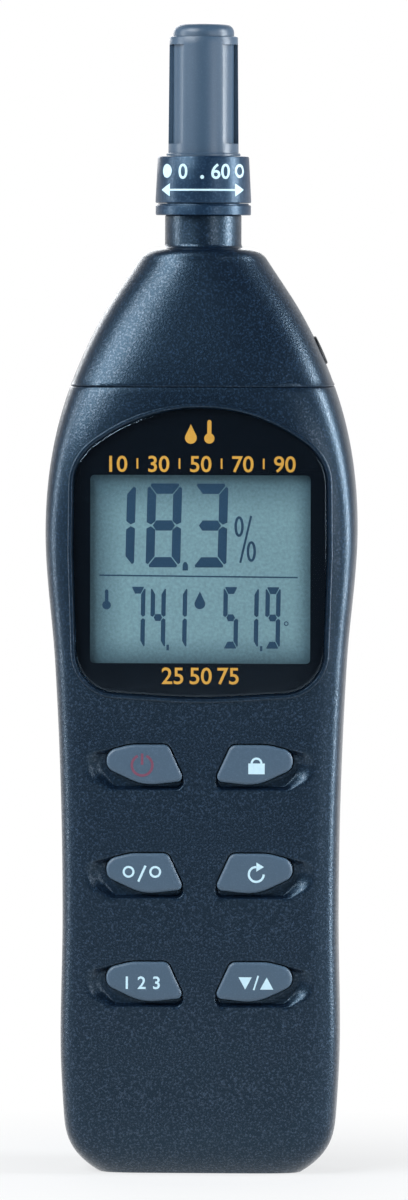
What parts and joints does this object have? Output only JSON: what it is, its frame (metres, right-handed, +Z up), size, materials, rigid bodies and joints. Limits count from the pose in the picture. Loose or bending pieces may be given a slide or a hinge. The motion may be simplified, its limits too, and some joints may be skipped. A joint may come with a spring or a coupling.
{
  "type": "digital psychrometer",
  "caption": "Hand-held humidity and temperature meter: two-part case with display, sprung keys, battery bay, and a probe with a turning slotted guard.",
  "frame": {"origin": "middle of the foot, straight below the probe's axis", "axes": "+Z up along the instrument towards the probe's tip, -Y out of the display, +X to the right of the display"},
  "size_m": [0.061, 0.0343, 0.225],
  "materials": {
    "case_plastic": "fine spark-eroded texture, dark slate blue",
    "probe_plastic": "satin, slate blue",
    "key_plastic": "satin, grey blue",
    "lens_acrylic": "polished clear plate",
    "black_print": "printed black film",
    "display_glass": "liquid-crystal cell, grey green",
    "reflector_foil": "grey reflector foil",
    "frame_plastic": "white, moulded",
    "rubber": "matt black",
    "mat_rubber": "grey silicone",
    "circuit_board": "green solder mask",
    "chip_resin": "black moulding resin",
    "component_mix": "sleeved capacitors and ceramic chips",
    "plated_steel": "zinc plated",
    "cell_sleeve": "printed steel can",
    "sensor_ceramic": "white, slotted",
    "bead_resin": "dark dipped resin",
    "ribbon_lead": "grey flat lead",
    "wire_sleeve": "red insulation"
  },
  "bodies": {
    "case": {"front_case": "case_plastic", "rear_case": "case_plastic", "head_shell": "case_plastic", "probe_base": "probe_plastic", "sensor_cage": "probe_plastic", "friction_ring": "rubber", "sensor_board": "circuit_board", "humidity_sensor": "sensor_ceramic", "thermistor_bead": "bead_resin", "sensor_lead": "ribbon_lead", "port_socket": "rubber", "display_lens": "lens_acrylic", "lens_mask": "black_print", "lcd_glass": "display_glass", "lcd_reflector": "reflector_foil", "lcd_frame": "frame_plastic", "zebra_strips": "rubber", "keypad_mat": "mat_rubber", "main_board": "circuit_board", "processor_chip": "chip_resin", "clock_crystal": "plated_steel", "board_components": "component_mix", "board_screws": "plated_steel", "battery_cell_1": "cell_sleeve", "battery_cell_2": "cell_sleeve", "battery_cell_3": "cell_sleeve", "battery_cell_4": "cell_sleeve", "battery_springs": "plated_steel", "battery_plates": "plated_steel", "battery_leads": "wire_sleeve", "case_screws": "plated_steel", "head_screws": "plated_steel"},
    "guard": {"guard_sleeve": "probe_plastic"},
    "door": {"battery_door": "case_plastic"},
    "plug": {"port_plug": "rubber"},
    "power_key": {"power_key": "key_plastic"},
    "unit_key": {"unit_key": "key_plastic"},
    "mode_key": {"mode_key": "key_plastic"},
    "hold_key": {"hold_key": "key_plastic"},
    "reset_key": {"reset_key": "key_plastic"},
    "minmax_key": {"minmax_key": "key_plastic"}
  },
  "joints": [
    {"name": "guard_turn", "type": "hinge", "parent": "case", "child": "guard", "pos_m": [0, 0, 0.2], "axis": [0, 0, 1], "range_deg": [0, 60]},
    {"name": "door_swing", "type": "hinge", "parent": "case", "child": "door", "pos_m": [0, 0.01584, 0.00988], "axis": [-1, 0, 0], "range_deg": [0, 40]},
    {"name": "plug_pull", "type": "slide", "parent": "case", "child": "plug", "axis": [0.9111, 0, 0.4122], "range_m": [0, 0.005]},
    {"name": "power_press", "type": "slide", "parent": "case", "child": "power_key", "axis": [0, 1, 0], "range_m": [0, 0.0007], "stiffness_N_per_m": 1500},
    {"name": "unit_press", "type": "slide", "parent": "case", "child": "unit_key", "axis": [0, 1, 0], "range_m": [0, 0.0007], "stiffness_N_per_m": 1500},
    {"name": "mode_press", "type": "slide", "parent": "case", "child": "mode_key", "axis": [0, 1, 0], "range_m": [0, 0.0007], "stiffness_N_per_m": 1500},
    {"name": "hold_press", "type": "slide", "parent": "case", "child": "hold_key", "axis": [0, 1, 0], "range_m": [0, 0.0007], "stiffness_N_per_m": 1500},
    {"name": "reset_press", "type": "slide", "parent": "case", "child": "reset_key", "axis": [0, 1, 0], "range_m": [0, 0.0007], "stiffness_N_per_m": 1500},
    {"name": "minmax_press", "type": "slide", "parent": "case", "child": "minmax_key", "axis": [0, 1, 0], "range_m": [0, 0.0007], "stiffness_N_per_m": 1500}
  ]
}
